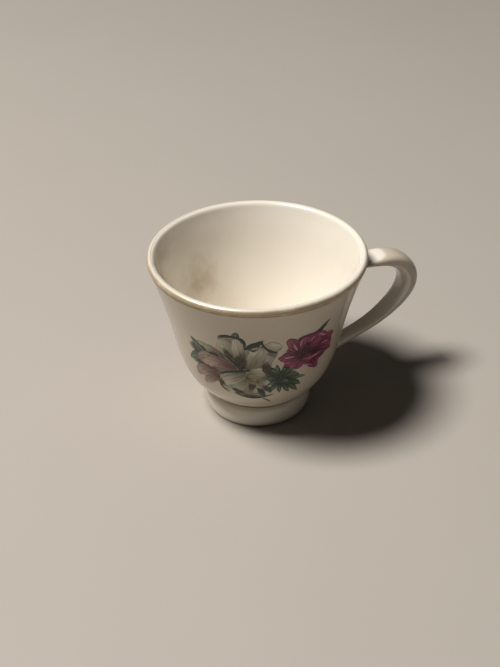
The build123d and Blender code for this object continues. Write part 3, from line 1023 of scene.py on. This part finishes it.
class MakeGilding(Maker, bpy.types.Operator):
    """Make the worn gilded band on the rim"""

    bl_idname = "teacup.make_gilding"
    bl_label = "Rim gilding"

    def make(self, sizes, colours):
        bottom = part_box("rim_gilding")[0].z
        outline = eased(even(half_section("bowl"), sizes.outline_step / 3), 3)
        crest = max(range(len(outline)), key=lambda i: outline[i].y)
        band = [p for p in outline[crest:] if p.y >= bottom]
        outer, inner = [], []
        for index, point in enumerate(band):
            run = band[min(len(band) - 1, index + 1)] - band[max(0, index - 1)]
            out = Vector((-run.y, run.x)).normalized()
            edge = min(index, len(band) - 1 - index) / 3
            outer.append(point + out * (sizes.band_lift * min(1.0, edge) - 0.01 * MM))
            inner.append(point - out * 0.08 * MM)
        mesh = fired_skin(
            "rim_gilding_band", turned(outer + inner[::-1], sizes.turns), sizes)
        finish = gilding_finish("worn_gilding", colours, CUP_HEIGHT, bottom)
        place_piece(cleaned(mesh), finish, "gilding", "rim_gilding")


class MakeWhiteFlower(Maker, bpy.types.Operator):
    """Lay the white and pink flower with its leaves on the wall"""

    bl_idname = "teacup.make_white_flower"
    bl_label = "White flower"

    def make(self, sizes, c):
        petal_veins = veins_of(WHITE_PETALS + PINK_PETALS, (-0.45, 0.1, 0.5), 0.09)
        leaf_veins = veins_of(WHITE_LEAVES, (0.0,), 0.12)
        families = [
            ("wash", WHITE_WASH, c.wash, c.wash, c.white, c.petal_grey, 0.35),
            ("leaf_wash", LEAF_WASH + LEFT_LEAF_WASH,
             c.leaf_dark, c.leaf_dark, c.petal_grey, c.leaf, 0.45),
            ("petals", WHITE_PETALS, c.petal_grey, c.white, c.wash, c.petal_grey, 0.12),
            ("veins", petal_veins, c.petal_grey, c.petal_grey, c.wash, c.wash, 0.3, 0.0, 0.45),
            ("leaf_veins", leaf_veins, c.leaf, c.white, c.leaf, c.leaf, 0.3),
            ("pink_petals", PINK_PETALS, c.russet, c.pink, c.russet, c.russet, 0.0, 0.8),
            ("leaves", WHITE_LEAVES, c.leaf_dark, c.leaf, c.leaf_dark, c.leaf_dark),
            ("shading", SHADE, c.umber, c.umber, c.petal_grey, c.leaf_dark, 0.5),
            ("outlines", INK, c.leaf_dark, c.leaf_dark, c.leaf_dark, c.leaf, 0.15),
            ("stamens", OCHRE, c.ochre, c.ochre, c.petal_grey, c.russet, 0.3),
        ]
        paint_flower("white_flower", families, sizes.white_flower_angle, 0.0, sizes)


class MakeMagentaFlower(Maker, bpy.types.Operator):
    """Lay the magenta flower with its dark leaf on the wall"""

    bl_idname = "teacup.make_magenta_flower"
    bl_label = "Magenta flower"

    def make(self, sizes, c):
        veins = veins_of(MAGENTA_PETALS, (-0.55, 0.0, 0.5), 0.12)
        families = [
            ("wash", MAGENTA_WASH, c.maroon, c.magenta, c.maroon, c.maroon, 0.12),
            ("petals", MAGENTA_PETALS, c.maroon, c.magenta, c.petal_rim, c.maroon),
            ("veins", veins, c.maroon, c.rose, c.rose, c.maroon, 0.3),
            ("eye", MAGENTA_EYE, c.maroon, c.maroon, c.maroon, c.magenta, 0.3),
            ("streaks", MAGENTA_STREAKS, c.rose, c.rose, c.rose, c.white, 0.3),
            ("leaf", MAGENTA_LEAF, c.leaf_dark, c.leaf_dark, c.maroon, c.maroon),
        ]
        paint_flower("magenta_flower", families, sizes.magenta_flower_angle,
                     sizes.magenta_flower_rise, sizes)


def direction(azimuth, elevation):
    """A way out from the cup: turned from its front, and raised above the horizon."""
    flat = math.cos(elevation)
    return Vector((math.sin(azimuth) * flat, -math.cos(azimuth) * flat, math.sin(elevation)))


class SetStage(bpy.types.Operator):
    """Set the pale floor, the soft lights and the camera"""

    bl_idname = "teacup.set_stage"
    bl_label = "Stage"

    def execute(self, context):
        scene = context.scene
        stage, colours = scene.teacup_stage, scene.teacup_colours
        low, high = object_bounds()
        middle = (low + high) / 2
        self.lay_floor(Vector((middle.x, middle.y, low.z)), stage, colours)
        self.aim_camera(scene, stage)
        self.hang_key(middle, stage)
        self.fill_world(scene, stage, colours)
        scene.view_settings.view_transform = "Standard"
        scene.view_settings.gamma = 0.85
        return {"FINISHED"}

    @staticmethod
    def lay_floor(place, stage, colours):
        mesh = bpy.data.meshes.new("floor")
        work = bmesh.new()
        bmesh.ops.create_circle(work, cap_ends=True, segments=96, radius=stage.floor_radius)
        work.to_mesh(mesh)
        work.free()
        floor = shown(mesh)
        floor.location = place
        f = Finish("floor_paint")
        paint = f.shade(colours.floor, 0.975 + f.noise(90 * MM, 3.0) * 0.05)
        mesh.materials.append(f.done(
            Base_Color=paint, Roughness=0.75, Normal=f.bump(f.noise(1.5 * MM, 4.0), 0.02 * MM)))
        floor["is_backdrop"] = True

    @staticmethod
    def aim_camera(scene, stage):
        camera_data = bpy.data.cameras.new("camera")
        camera_data.lens = stage.lens
        camera_data.sensor_width = 36.0
        camera_data.clip_start, camera_data.clip_end = 0.01, 20.0
        camera = shown(camera_data)
        back = direction(stage.azimuth, stage.elevation)
        across = Vector((0, 0, 1)).cross(back).normalized()
        up = back.cross(across)
        right = across * math.cos(stage.roll) + up * math.sin(stage.roll)
        above = up * math.cos(stage.roll) - across * math.sin(stage.roll)
        rotation = Matrix((right, above, back)).transposed().to_4x4()
        place = Vector(stage.aim) + back * stage.distance
        camera.matrix_world = Matrix.Translation(place) @ rotation
        scene.camera = camera

    @staticmethod
    def hang_key(middle, stage):
        key_data = bpy.data.lights.new("key", "AREA")
        key_data.shape = "DISK"
        key_data.size = stage.key_size
        key_data.energy = stage.key_power
        key_data.color = (1.0, 0.97, 0.93)
        key = shown(key_data)
        towards = direction(stage.key_azimuth, stage.key_elevation)
        key.location = middle + towards * stage.key_distance
        key.rotation_mode = "QUATERNION"
        key.rotation_quaternion = towards.to_track_quat("Z", "Y")

    @staticmethod
    def fill_world(scene, stage, colours):
        """Even light from all round, with a plain pale backdrop where the floor ends."""
        world = bpy.data.worlds.new("studio")
        world.use_nodes = True
        nodes, links = world.node_tree.nodes, world.node_tree.links
        fill, backdrop = nodes["Background"], nodes.new("ShaderNodeBackground")
        for light, paint, strength in (
                (fill, (1.0, 0.95, 0.88), stage.fill), (backdrop, colours.floor, stage.backdrop)):
            light.inputs["Color"].default_value = rgba(paint)
            light.inputs["Strength"].default_value = strength
        seen = nodes.new("ShaderNodeLightPath")
        either = nodes.new("ShaderNodeMixShader")
        links.new(seen.outputs["Is Camera Ray"], either.inputs[0])
        links.new(fill.outputs[0], either.inputs[1])
        links.new(backdrop.outputs[0], either.inputs[2])
        links.new(either.outputs[0], nodes["World Output"].inputs["Surface"])
        scene.world = world


class TeacupPanel(bpy.types.Panel):
    """Lists the teacup's pieces and the stage"""

    bl_idname = "VIEW3D_PT_teacup"
    bl_label = "Teacup"
    bl_space_type = "VIEW_3D"
    bl_region_type = "UI"
    bl_category = "Teacup"

    def draw(self, context):
        for operator in OPERATORS:
            self.layout.operator(operator.bl_idname)
        for group in GROUPS:
            settings = getattr(context.scene, group)
            box = self.layout.box()
            for name in settings.__annotations__:
                box.prop(settings, name)


OPERATORS = (
    MakeBowl, MakeFoot, MakeHandle, MakeGilding, MakeWhiteFlower, MakeMagentaFlower, SetStage)
GROUPS = {
    "teacup_sizes": TeacupSizes, "teacup_colours": TeacupColours, "teacup_stage": TeacupStage}


def register():
    for kind in (*GROUPS.values(), *OPERATORS, TeacupPanel):
        bpy.utils.register_class(kind)
    for name, kind in GROUPS.items():
        setattr(bpy.types.Scene, name, PointerProperty(type=kind))


def unregister():
    for name in GROUPS:
        delattr(bpy.types.Scene, name)
    for kind in (TeacupPanel, *reversed(OPERATORS), *reversed(GROUPS.values())):
        bpy.utils.unregister_class(kind)


def main():
    """Makes every piece and the stage."""
    register()
    for operator in OPERATORS:
        getattr(bpy.ops.teacup, operator.bl_idname.split(".")[1])()


if __name__ == "__main__":
    main()
